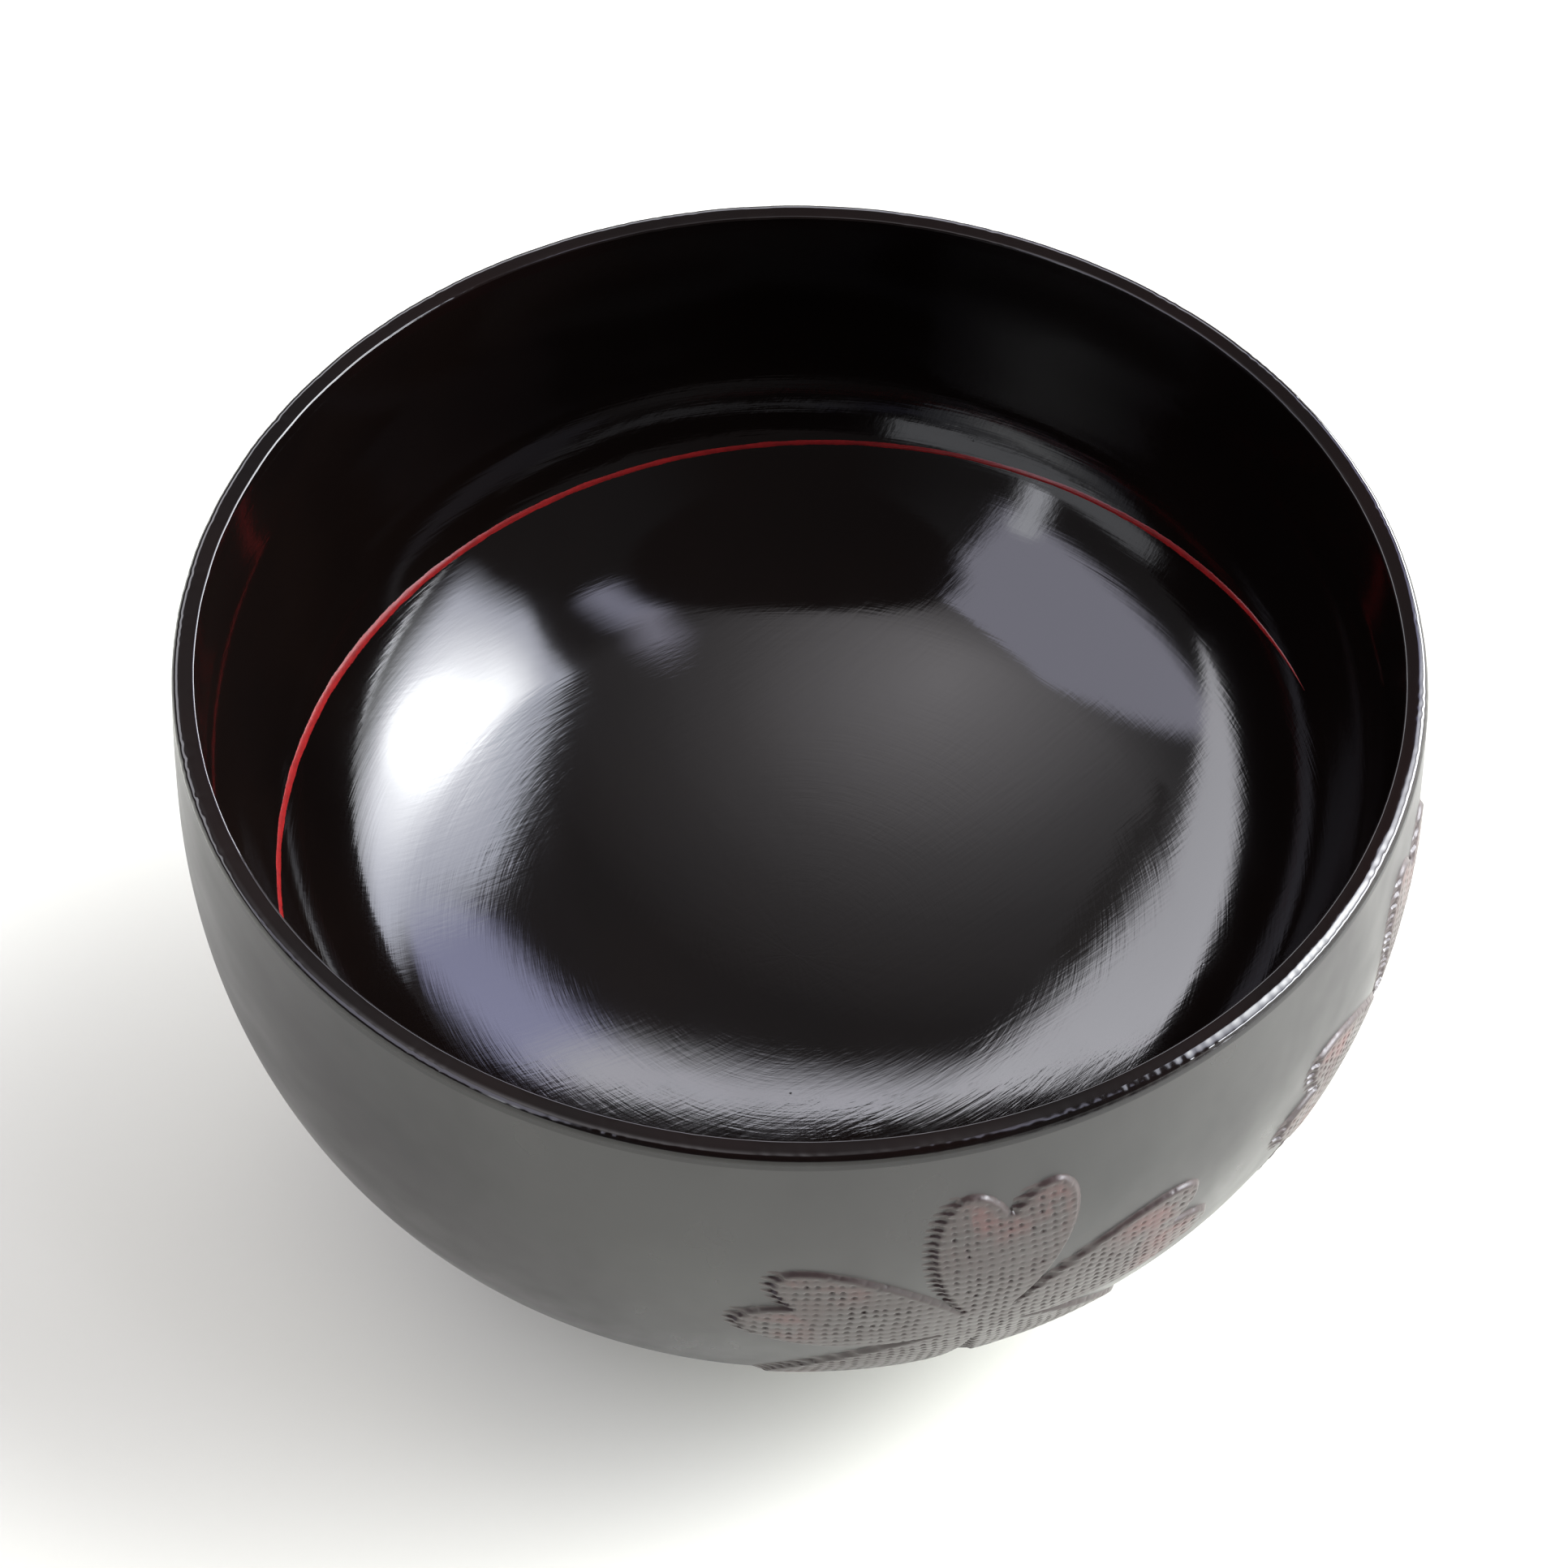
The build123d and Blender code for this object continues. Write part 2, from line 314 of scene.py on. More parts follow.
def lacquer(name, base, tint, roughness, bumps, ior=1.5, satin_below=0.0):
    """Brushed lacquer.  Its bumps are ring marks, brush marks, swell and nibs, in micrometres.

    Where satin_below is a height, the outer face below it takes the outside wall's satin.
    """
    ring_marks, brush_marks, swell, nibs = bumps
    material, kit, look = new_material(name, ior)
    normal = kit.bump(kit.noise(kit.place((150, 40, 150), (0, 0, -0.4)), 1.0, 0.4), swell)
    strokes = kit.noise(kit.place((60, 2000, 800), (0, 0, -0.62)), 2.0, 0.6)
    normal = kit.bump(strokes, brush_marks, normal)
    marks = kit.noise(kit.round_place(4.5, 2100), 2.0, 0.65)
    patches = kit.ramp(kit.noise(kit.round_place(7, 260), 2.0, 0.5), 0.3, 0.7, 0.25, 1.0)
    normal = kit.bump(kit.math("MULTIPLY", marks, patches), ring_marks, normal)
    specks = kit.put("ShaderNodeTexVoronoi", {"Vector": kit.place((1, 1, 1)), "Scale": 170.0})
    nib = kit.ramp(specks.outputs["Distance"], 0.0, 0.03, 1.0, 0.0, "SMOOTHSTEP")
    speck_red = kit.put("ShaderNodeSeparateColor", {0: specks.outputs["Color"]}).outputs[0]
    chosen = kit.ramp(speck_red, 0.55, 0.56)
    normal = kit.bump(kit.math("MULTIPLY", nib, chosen), nibs, normal)
    kit.plug(look["Normal"], normal)
    drift = kit.ramp(kit.noise(kit.place((30, 30, 30)), 3.0, 0.6), 0.35, 0.7)
    colour = kit.mix(drift, base, tint)
    wear = kit.noise(kit.place((90, 25, 60), (0, 0, -0.35)), 3.0, 0.6)
    gloss = kit.ramp(wear, 0.3, 0.7, roughness * 0.75, roughness * 1.3)
    if satin_below:
        parts, flat = kit.split(kit.place((1, 1, 1)))
        outer = kit.ramp(kit.vector("LENGTH", flat), (RIM_RADIUS - 0.5) * MM,
                         (RIM_RADIUS - 0.2) * MM, shape="SMOOTHSTEP")
        low = kit.ramp(parts[2], (satin_below + 0.3) * MM,
                       (satin_below - 0.1) * MM, shape="SMOOTHSTEP")
        satin = kit.math("MULTIPLY", outer, low)
        colour = kit.mix(satin, colour, OUTSIDE_BLACK)
        gloss = kit.ramp(satin, 0.0, 1.0, gloss, OUTSIDE_ROUGHNESS)
    kit.plug(look["Base Color"], colour)
    kit.plug(look["Roughness"], gloss)
    return material


inside_black = lacquer("inside_black_lacquer", INSIDE_BLACK, (0.0024, 0.0014, 0.0011, 1),
                       0.075, (8.0, 5.5, 3.0, 10.0))
outside_black = lacquer("outside_satin_lacquer", OUTSIDE_BLACK, (0.014, 0.0120, 0.0125, 1),
                        OUTSIDE_ROUGHNESS, (3.0, 1.5, 4.0, 0.0))
rim_black = lacquer("rim_lacquer", INSIDE_BLACK, (0.0030, 0.0013, 0.0011, 1),
                    0.085, (2.0, 1.0, 3.0, 4.0), 1.40, HEIGHT - 1.0)
foot_black = lacquer("foot_satin_lacquer", (0.011, 0.009, 0.0085, 1), (0.018, 0.013, 0.012, 1),
                     0.36, (4.0, 1.0, 4.0, 0.0))


def cloth_lacquer():
    """Lacquer over hemp cloth: satin black, rubbed through to red on the high places, with painted
    shade: less red on the edges that face left.
    """
    material, kit, look = new_material("lacquered_hemp_blossom")
    # The red-wear attribute also carries painted shade: little red on the edges that face left.
    wear_and_painted_shade = kit.put("ShaderNodeAttribute", attribute_name="wear_and_painted_shade")
    patch = kit.noise(kit.place((240, 240, 240)), 2.0, 0.6)
    amount = kit.math("MULTIPLY", kit.ramp(patch, 0.35, 0.62), wear_and_painted_shade.outputs["Fac"])
    colour = kit.mix(amount, (0.020, 0.0125, 0.0120, 1), (0.055, 0.017, 0.0155, 1))
    speck = kit.ramp(kit.noise(kit.place((2600, 2600, 2600)), 1.0, 0.5), 0.30, 0.42, 0.65, 1.0)
    kit.plug(look["Base Color"], kit.mix(speck, (0.006, 0.005, 0.005, 1), colour))
    kit.plug(look["Roughness"], kit.ramp(patch, 0.3, 0.7, 0.30, 0.42))
    fibres = kit.noise(kit.place((5200, 5200, 5200)), 3.0, 0.6)
    kit.plug(look["Normal"], kit.bump(fibres, 8.0))
    return material


def cinnabar():
    """A thin brushed line of cinnabar lacquer, darker where the brush ran dry."""
    material, kit, look = new_material("cinnabar_line", 1.35)
    along = kit.noise(kit.round_place(60, 1500), 3.0, 0.6)
    bristles = kit.noise(kit.round_place(14, 9000), 2.0, 0.6)
    load = kit.math("MULTIPLY", kit.ramp(along, 0.3, 0.65, 0.6, 1.0),
                    kit.ramp(bristles, 0.3, 0.6, 0.7, 1.0))
    colour = kit.mix(load, (0.028, 0.003, 0.003, 1), (0.17, 0.008, 0.008, 1))
    kit.plug(look["Base Color"], colour)
    kit.plug(look["Roughness"], 0.22)
    kit.plug(look["Normal"], kit.bump(bristles, 4.0))
    return material


def turned_wood():
    """The turned blank: growth rings that stand upright, long grain and short pores."""
    material, kit, look = new_material("turned_wood")
    drift = {"Vector": kit.place((14, 4, 14)), "Scale": 1.0, "Detail": 2.0}
    wander = kit.put("ShaderNodeTexNoise", drift).outputs[1]
    sway = kit.vector("ADD", kit.place((1, 1, 1)), kit.scaled(wander, 0.006))
    pith = {"Vector": sway, "Location": (0.17, 0.0, 0.045), "Scale": (1, 0.04, 1)}
    off_centre = kit.put("ShaderNodeMapping", pith)
    rings = kit.math("MULTIPLY", kit.vector("LENGTH", off_centre.outputs[0]), 420.0)
    year = kit.math("FRACT", rings)
    late = kit.math("MULTIPLY", kit.ramp(year, 0.25, 0.93), kit.ramp(year, 1.0, 0.94))
    fibre = kit.noise(kit.place((2400, 60, 2400)), 3.0, 0.6)
    pores = kit.ramp(kit.noise(kit.place((4200, 240, 4200)), 1.0, 0.5), 0.62, 0.72)
    early = kit.mix(kit.ramp(fibre, 0.3, 0.7), (0.46, 0.30, 0.16, 1), (0.56, 0.39, 0.22, 1))
    wood = kit.mix(kit.math("MULTIPLY", late, 0.75), early, (0.27, 0.145, 0.065, 1))
    kit.plug(look["Base Color"], kit.mix(pores, wood, (0.15, 0.075, 0.035, 1)))
    kit.plug(look["Roughness"], kit.ramp(fibre, 0.3, 0.7, 0.55, 0.72))
    normal = kit.bump(kit.total(fibre, kit.math("MULTIPLY", pores, -1.5)), 30.0)
    tool_marks = kit.noise(kit.round_place(2, 2600), 1.0, 0.5)
    kit.plug(look["Normal"], kit.bump(tool_marks, 15.0, normal))
    return material


def hemp():
    """Plain-woven hemp soaked in dark lacquer, under the finished coats."""
    material, kit, look = new_material("hemp_cloth")
    parts, flat = kit.split(kit.put("ShaderNodeTexCoord").outputs["Object"])
    turn = kit.math("MULTIPLY", kit.math("ARCTAN2", parts[1], parts[0]), 150.0)
    rise = kit.math("MULTIPLY", kit.math("ADD", kit.vector("LENGTH", flat), parts[2]), 3000.0)
    warp = kit.math("ABSOLUTE", kit.math("SINE", turn))
    weft = kit.math("ABSOLUTE", kit.math("SINE", rise))
    slow_turn = kit.math("SINE", kit.math("MULTIPLY", turn, 0.5))
    slow_rise = kit.math("SINE", kit.math("MULTIPLY", rise, 0.5))
    over = kit.math("GREATER_THAN", kit.math("MULTIPLY", slow_turn, slow_rise), 0.0)
    lifted = kit.math("MULTIPLY", kit.math("SUBTRACT", warp, weft), kit.math("SUBTRACT", over, 0.5))
    weave = kit.total(kit.math("MAXIMUM", warp, weft), lifted)
    fuzz = kit.noise(kit.place((3800, 3800, 3800)), 3.0, 0.6)
    thread = kit.mix(kit.ramp(fuzz, 0.3, 0.7), (0.14, 0.095, 0.055, 1), (0.26, 0.19, 0.115, 1))
    soaked = kit.ramp(kit.noise(kit.place((60, 60, 60)), 3.0, 0.6), 0.35, 0.65, 0.15, 0.75)
    gaps = kit.ramp(weave, 0.35, 0.8, 1.0, 0.0)
    dark = kit.math("MAXIMUM", soaked, gaps)
    kit.plug(look["Base Color"], kit.mix(dark, thread, (0.020, 0.013, 0.010, 1)))
    kit.plug(look["Roughness"], kit.ramp(fuzz, 0.3, 0.7, 0.6, 0.85))
    kit.plug(look["Normal"], kit.bump(kit.total(weave, kit.math("MULTIPLY", fuzz, 0.3)), 80.0))
    return material


# ---- the turned lacquer coats ---------------------------------------------------------------
SEGMENTS = 480
RIM_SEGMENTS = 1440         # enough for the beads on the rim
coat_top = HEIGHT - RIM_COAT_DEPTH


def inner_coat():
    """The gloss coat of the inside, from the bottom of the well to just under the rim."""
    face = inside_profile(0.0, coat_top)
    back = inside_profile(LACQUER, coat_top, 0.4)[::-1]
    return revolve("inside_coat", np.vstack([face, back]), SEGMENTS, False)


def outer_coat():
    """The satin coat of the outside, between the rim's coat and the foot's."""
    face = outside_profile(0.0, coat_top, FOOT_ZONE_HEIGHT)
    back = outside_profile(LACQUER, coat_top, FOOT_ZONE_HEIGHT, 0.4)[::-1]
    return revolve("outside_coat", np.vstack([face, back]), SEGMENTS, True)


def foot_coat():
    """The coat on the lowest part of the wall, the foot ring and the hollow under it."""
    wall = outside_profile(0.0, FOOT_ZONE_HEIGHT, FOOT_HEIGHT + 0.12)
    corner = (FOOT_RADIUS, FOOT_HEIGHT)
    base_out = (FOOT_BASE_RADIUS, 0.0)
    base_in = (FOOT_BASE_RADIUS - FOOT_RING_WIDTH, 0.0)
    ceiling = (RECESS_RADIUS, RECESS_HEIGHT)
    centre = (0.0, RECESS_HEIGHT)
    face = np.vstack([
        wall,
        rounded(corner, wall[-1], base_out, 0.1),
        rounded(base_out, corner, base_in, 0.6),
        rounded(base_in, base_out, ceiling, 0.5),
        rounded(ceiling, base_in, centre, 0.8),
        np.c_[np.linspace(RECESS_RADIUS - 2, 0, 12), np.full(12, RECESS_HEIGHT)],
    ])
    back_wall = outside_profile(LACQUER, FOOT_ZONE_HEIGHT, FOOT_HEIGHT + LACQUER + 0.1, 0.4)[::-1]
    back = np.vstack([
        (0.0, RECESS_HEIGHT + LACQUER),
        (RECESS_RADIUS + LACQUER, RECESS_HEIGHT + LACQUER),
        (FOOT_BASE_RADIUS - FOOT_RING_WIDTH + LACQUER, LACQUER),
        (FOOT_BASE_RADIUS - LACQUER, LACQUER),
        back_wall,
    ])
    return revolve("foot_coat", np.vstack([back, face]), SEGMENTS, False)


def rim_ripple(ring, angle):
    """Beads and slow waves of lacquer along the rim's outer edge, in millimetres."""
    radius, height = ring.T
    edge = smooth_step(radius, RIM_RADIUS - 1.5, RIM_RADIUS - 0.2)
    edge = edge * smooth_step(height, HEIGHT - 1.2, HEIGHT - 0.4)
    inner = smooth_step(radius, INNER_RADIUS + 0.7, INNER_RADIUS)
    inner = inner * smooth_step(height, HEIGHT - 0.9, HEIGHT - 0.4)
    beads = wave_noise(angle, SEED, 1.5 / RIM_RADIUS, 1) * 0.020
    beads *= 0.35 + 0.65 * smooth_step(wave_noise(angle, SEED + 1, 0.35, 1), -0.6, 0.6)
    waves = wave_noise(angle, SEED + 2, 0.16, 2) * 0.020
    small = wave_noise(angle, SEED + 3, 2.5 / RIM_RADIUS, 2) * 0.008
    low_side = smooth_step(np.cos(angle - math.radians(RIM_LOW_SIDE)), 0.55, 0.95)
    outer_lift = edge[:, None] * (beads + waves - RIM_LOWERING * low_side)[None, :]
    return outer_lift + inner[:, None] * (small + waves)[None, :]


def rim_coat():
    """The rim: a dark land with a crisp inner edge and a fuller, slightly beaded outer edge."""
    top_in, top_out = (INNER_RADIUS, HEIGHT), (RIM_RADIUS, HEIGHT)
    low_in, low_out = (INNER_RADIUS, coat_top), outside_profile(0.0, coat_top, coat_top - 1)[0]
    face = np.vstack([
        low_in,
        (INNER_RADIUS, HEIGHT - 0.8),
        rounded(top_in, low_in, top_out, RIM_INNER_ROUND, 9),
        (INNER_RADIUS + 0.7, HEIGHT - 0.02),
        rounded(top_out, top_in, low_out, RIM_OUTER_ROUND, 21),
        low_out,
    ])
    back = np.vstack([
        (low_out[0] - LACQUER, coat_top),
        (RIM_RADIUS - LACQUER - 0.1, HEIGHT - LACQUER - 0.3),
        (RIM_RADIUS - LACQUER - 0.5, HEIGHT - LACQUER),
        (INNER_RADIUS + LACQUER, HEIGHT - LACQUER),
        (INNER_RADIUS + LACQUER, coat_top),
    ])
    return revolve("rim_coat", np.vstack([face, back]), RIM_SEGMENTS, True, rim_ripple)


# ---- the painted line -----------------------------------------------------------------------
LINE_HEIGHT = 37.9
LINE_RISE = 2.02
LINE_START = 20.0
LINE_SWEEP = 280.0
LINE_CROWN = 0.045
LINE_SINK = 0.05
LINE_STEPS = 3200
LINE_AZIMUTHS = [20, 23, 30, 42, 52, 70, 110, 135, 152, 172, 190, 300]
LINE_WIDTHS = [0.0, 0.20, 0.46, 0.70, 0.60, 0.48, 0.52, 0.72, 0.96, 0.84, 0.60, 0.50]


def painted_line():
    """A thin raised ribbon on the inside, its width uneven like a brushed line."""
    profile = inside_profile(0.0, coat_top, 4.0)
    steps = np.hypot(*np.diff(profile, axis=0).T)
    run = np.r_[0, np.cumsum(steps)]
    tangent = np.gradient(profile, run, axis=0)
    inward = np.c_[-tangent[:, 1], tangent[:, 0]]
    turn = np.linspace(0, 1, LINE_STEPS)
    angle = np.radians(LINE_START + LINE_SWEEP * turn)
    wide = np.interp(np.degrees(angle), LINE_AZIMUTHS, LINE_WIDTHS)
    wide *= 1 + 0.07 * wave_noise(angle, SEED + 10, 0.08, 2)
    wide *= smooth_step(turn, -0.001, 0.004) * smooth_step(1 - turn, 0, 0.01)
    wide = np.maximum(wide, 0.01)
    middle = LINE_HEIGHT + LINE_RISE * np.cos(angle) + 0.015 * wave_noise(angle, SEED + 11, 0.25, 2)
    at = np.interp(middle, profile[:, 1], run)
    lanes = np.linspace(-1, 1, 9)
    top_lift = LINE_CROWN * (1 - lanes ** 2)
    rings = []
    for lane, lift in [*zip(lanes, top_lift), *((k, -LINE_SINK) for k in lanes[::-1])]:
        ragged = 1 + 0.04 * wave_noise(angle, SEED + 20 + int(lane > 0), 0.012, 2) * abs(lane)
        place = at + lane * wide / 2 * ragged
        radius, height = (np.interp(place, run, profile[:, i])
                          + lift * np.interp(place, run, inward[:, i]) for i in range(2))
        rings.append(np.c_[radius * np.cos(angle), radius * np.sin(angle), height])
    verts = np.stack(rings, 1).reshape(-1, 3)
    count, lane_count = len(angle), len(rings)
    faces = []
    for i in range(count - 1):
        for j in range(lane_count):
            k = (j + 1) % lane_count
            here, ahead = i * lane_count, (i + 1) * lane_count
            faces.append([here + j, ahead + j, ahead + k, here + k])
    faces.append(list(range(lane_count))[::-1])
    faces.append([(count - 1) * lane_count + j for j in range(lane_count)])
    return mesh_object("painted_line", verts * MM, faces)


# ---- the cloth blossoms ---------------------------------------------------------------------
PETAL_SIDE_REACH = 19.0
PETAL_HALF_WIDTH = 7.1
PETAL_NOTCH_REACH = 20.2
PETAL_ROOT = (4.0, 4.2)
PETAL_FULL = (12.2, 7.9)
PETAL_LOBE = (23.6, 6.6)
PETAL_TIP = (25.6, 3.2)
BLOSSOM_PLACE = 0.31        # share of the way from the belly to the foot, to its centre
CENTRE_DISC_RADIUS = 4.8
FIRST_PETAL_ANGLE = 86.0
THREAD_PITCH = 1.05
THREAD_TILT = 2.0           # degrees
TASSEL_REACH = 1.3          # how far thread ends may stand out past the outline
RAISE = 0.45                # of the cloth above the wall
SHEET_SUNK = 0.03           # how far the relief's zero lies under the wall's face
SHEET_DEPTH = 0.20          # and the sheet's underside
BLOSSOM_REACH = 25.2        # half the side of the square that the relief is computed on


def petal_outline():
    """Half of a petal's outline in its own axes: from the centre, round the lobe, to the notch."""
    shoulder = (PETAL_SIDE_REACH, PETAL_HALF_WIDTH)
    side = bezier([(0, 0), PETAL_ROOT, PETAL_FULL, shoulder], 26)
    lobe = bezier([shoulder, PETAL_LOBE, PETAL_TIP, (PETAL_NOTCH_REACH, 0)], 22)
    return np.vstack([side, lobe[1:]])


def inside_distance(x, y):
    """Distance inside the blossom's outline, negative outside it."""
    outline = petal_outline()
    best = CENTRE_DISC_RADIUS - np.hypot(x, y)
    for petal in range(5):
        turn = math.radians(FIRST_PETAL_ANGLE + 72 * petal)
        along = x * math.cos(turn) + y * math.sin(turn)
        beside = np.abs(y * math.cos(turn) - x * math.sin(turn))
        nearest = np.full(x.shape, 1e9)
        crossings = np.zeros(x.shape, int)
        for (ax, ay), (bx, by) in zip(outline[:-1], outline[1:]):
            dx, dy = bx - ax, by - ay
            t = np.clip(((along - ax) * dx + (beside - ay) * dy) / (dx * dx + dy * dy), 0, 1)
            nearest = np.minimum(nearest, np.hypot(along - ax - t * dx, beside - ay - t * dy))
            hit = (ay > beside) != (by > beside)
            reach = ax + (beside - ay) * dx / (dy if dy else 1e-9)
            crossings += hit & (reach > along)
        inside = crossings % 2 == 1
        best = np.maximum(best, np.where(inside, nearest, -nearest))
    return best


def cloth_relief(x, y, seed):
    """Height of the lacquered cloth, how far its red shows through (real wear, held back on
    left-facing edges as painted shade), and inside_distance.
    """
    rng = np.random.default_rng(seed)
    edge = inside_distance(x, y)
    slope_x = np.gradient(edge, x[0, 1] - x[0, 0], axis=1)
    leftwards = smooth_step(slope_x, 0.35, 0.8)
    tilt = math.radians(THREAD_TILT)
    u = x * math.cos(tilt) + y * math.sin(tilt) + 0.20 * np.sin(y * 0.33 + 1.1)
    v = y * math.cos(tilt) - x * math.sin(tilt) + 0.18 * np.sin(x * 0.29 + 0.4)
    u += 0.07 * np.sin(y * 1.3 + x * 0.2)
    v += 0.07 * np.sin(x * 1.1 - y * 0.3)
    shift_u = np.interp(u / THREAD_PITCH, np.arange(-30, 31), rng.uniform(-0.13, 0.13, 61))
    shift_v = np.interp(v / THREAD_PITCH, np.arange(-30, 31), rng.uniform(-0.13, 0.13, 61))
    pu, pv = u / THREAD_PITCH + shift_u, v / THREAD_PITCH + shift_v
    gap_u = np.cos(math.pi * pu) ** 2
    gap_v = np.cos(math.pi * pv) ** 2
    cell_u, cell_v = np.floor(pu + 0.5).astype(int), np.floor(pv + 0.5).astype(int)
    open_hole = rng.uniform(0.25, 1.0, (80, 80))[cell_u % 80, cell_v % 80]
    hole = smooth_step(gap_u, 0.42, 0.95) * smooth_step(gap_v, 0.50, 0.95) * open_hole
    patches = np.sin(x * 0.55 + y * 0.31) + np.sin(y * 0.62 - x * 0.2 + seed)
    filled = smooth_step(edge, 0.3, 2.2) * (0.35 + 0.65 * smooth_step(patches, -0.9, 0.5))
    over = np.cos(math.pi * (np.floor(pu) + np.floor(pv)))
    over = over * np.sin(math.pi * pu) * np.sin(math.pi * pv)
    body = RAISE * smooth_step(edge, -0.12, 0.55)
    body += (0.3 + 0.7 * filled) * (0.035 * over - 0.24 * hole)
    thread = smooth_step(1 - gap_v, 0.30, 0.75)
    tassel = RAISE * thread * smooth_step(edge, -1.15, 0.7) * 0.7
    comb = body * (1 - 0.75 * (1 - thread) * smooth_step(edge, 1.0, 0.3))
    relief = body * (1 - leftwards) + np.maximum(tassel, comb) * leftwards
    relief = np.where(edge > -TASSEL_REACH, relief, 0)
    wear_and_painted_shade = smooth_step(edge, 0.4, 1.6) * smooth_step(edge, 6.0, 2.6)
    wear_and_painted_shade = wear_and_painted_shade * smooth_step(np.hypot(x, y), 13, 19)
    # Painted shade: edges that face left, away from the light, keep only a fifth of the red wear.
    wear_and_painted_shade = wear_and_painted_shade * (1 - 0.8 * leftwards) + 0.06
    return relief, wear_and_painted_shade * (1 - hole), edge


def one_sheet(cells):
    """The cells joined to the middle one, with cells that touch only at a corner bridged."""
    cells = cells.copy()
    while True:
        down = cells[:-1, :-1] & cells[1:, 1:] & ~cells[1:, :-1] & ~cells[:-1, 1:]
        cells[1:, :-1] |= down
        up = cells[1:, :-1] & cells[:-1, 1:] & ~cells[:-1, :-1] & ~cells[1:, 1:]
        cells[:-1, :-1] |= up
        if not (down.any() or up.any()):
            break
    joined = np.zeros_like(cells)
    joined[cells.shape[0] // 2, cells.shape[1] // 2] = True
    size = 0
    while joined.sum() > size:
        size = joined.sum()
        for _ in range(8):
            grown = joined.copy()
            grown[1:] |= joined[:-1]
            grown[:-1] |= joined[1:]
            grown[:, 1:] |= joined[:, :-1]
            grown[:, :-1] |= joined[:, 1:]
            joined = grown & cells
    return joined


def lay_on_wall(x, y, azimuth):
    """The wall's points and normals under flat points x, y round a spot at this azimuth."""
    wall = outside_profile(0.0, HEIGHT, FOOT_ZONE_HEIGHT, 3.0)[::-1]
    lower = bezier([(BELLY_RADIUS, BELLY_Z), (BELLY_RADIUS, BELLY_Z - BELLY_DROP),
                    (FOOT_RADIUS + FOOT_FLARE, FOOT_HEIGHT + FOOT_RISE),
                    (FOOT_RADIUS, FOOT_HEIGHT)], 1001)
    run = np.r_[0, np.cumsum(np.hypot(*np.diff(lower, axis=0).T))]
    place = int(np.searchsorted(run, BLOSSOM_PLACE * run[-1]))
    spot = lower[place]
    along = lower[place - 1] - lower[place + 1]
    along /= np.linalg.norm(along)
    turn = math.radians(azimuth)
    radial = np.array([math.cos(turn), math.sin(turn), 0])
    sideways = np.array([-math.sin(turn), math.cos(turn), 0])
    upward = radial * along[0] + np.array([0, 0, along[1]])
    outward = np.cross(sideways, upward)
    start = radial * spot[0] + np.array([0, 0, spot[1]])
    flat = start + x[..., None] * sideways + y[..., None] * upward
    # Each flat point moves along one line until it meets the wall, found by halving.
    low, high = np.full(x.shape, -24.0), np.full(x.shape, 3.0)
    for _ in range(30):
        middle = (low + high) / 2
        point = flat + middle[..., None] * outward
        limit = np.interp(point[..., 2], wall[:, 1], wall[:, 0])
        beyond = np.hypot(point[..., 0], point[..., 1]) > limit
        high = np.where(beyond, middle, high)
        low = np.where(beyond, low, middle)
    base = flat + ((low + high) / 2)[..., None] * outward
    normal = np.cross(np.gradient(base, axis=1), np.gradient(base, axis=0))
    return base, normal / np.linalg.norm(normal, axis=-1, keepdims=True)


def sheet_faces(used, under):
    """Faces of a closed sheet over the used cells; its underside's vertices start at under."""
    rows, columns = used.shape
    grid = np.arange((rows + 1) * (columns + 1)).reshape(rows + 1, columns + 1)
    a, b, c, d = grid[:-1, :-1], grid[:-1, 1:], grid[1:, 1:], grid[1:, :-1]
    faces = [np.stack([a, b, c, d], -1)[used], np.stack([d, c, b, a], -1)[used] + under]
    padded = np.pad(used, 1)
    for neighbour, first, second in ((padded[:-2, 1:-1], a, b), (padded[2:, 1:-1], c, d),
                                     (padded[1:-1, :-2], d, a), (padded[1:-1, 2:], b, c)):
        open_edge = used & ~neighbour
        p, q = first[open_edge], second[open_edge]
        faces.append(np.stack([p, p + under, q + under, q], -1))
    return np.vstack(faces)


def blossom(name, azimuth, seed, pitch):
    """A closed relief of one blossom on the wall, and the flat size and area of its cloth."""
    ticks = np.linspace(-BLOSSOM_REACH, BLOSSOM_REACH, int(2 * BLOSSOM_REACH / pitch))
    x, y = np.meshgrid(ticks, ticks)
    relief, wear_and_painted_shade, edge = cloth_relief(x, y, seed)
    base, normal = lay_on_wall(x, y, azimuth)
    top = base + (relief - SHEET_SUNK)[..., None] * normal
    under = base - SHEET_DEPTH * normal
    raised = relief > 0.003
    used = one_sheet(raised[:-1, :-1] | raised[1:, :-1] | raised[:-1, 1:] | raised[1:, 1:])
    keep, faces = np.unique(sheet_faces(used, x.size), return_inverse=True)
    verts = np.vstack([top.reshape(-1, 3), under.reshape(-1, 3)])[keep]
    piece = mesh_object(name, verts * MM, faces.reshape(-1, 4).tolist())
    # The red wear, with its painted shade on left-facing edges, is stored per point for the
    # material.
    layer = piece.data.attributes.new("wear_and_painted_shade", "FLOAT", "POINT")
    layer.data.foreach_set("value", np.tile(wear_and_painted_shade.ravel(), 2)[keep].astype(np.float32))
    cut = edge > 0
    area = float(cut.sum()) * (pitch * MM) ** 2
    wide, tall = (float(np.ptp(side[cut])) * MM for side in (x, y))
    return piece, (wide, tall), area


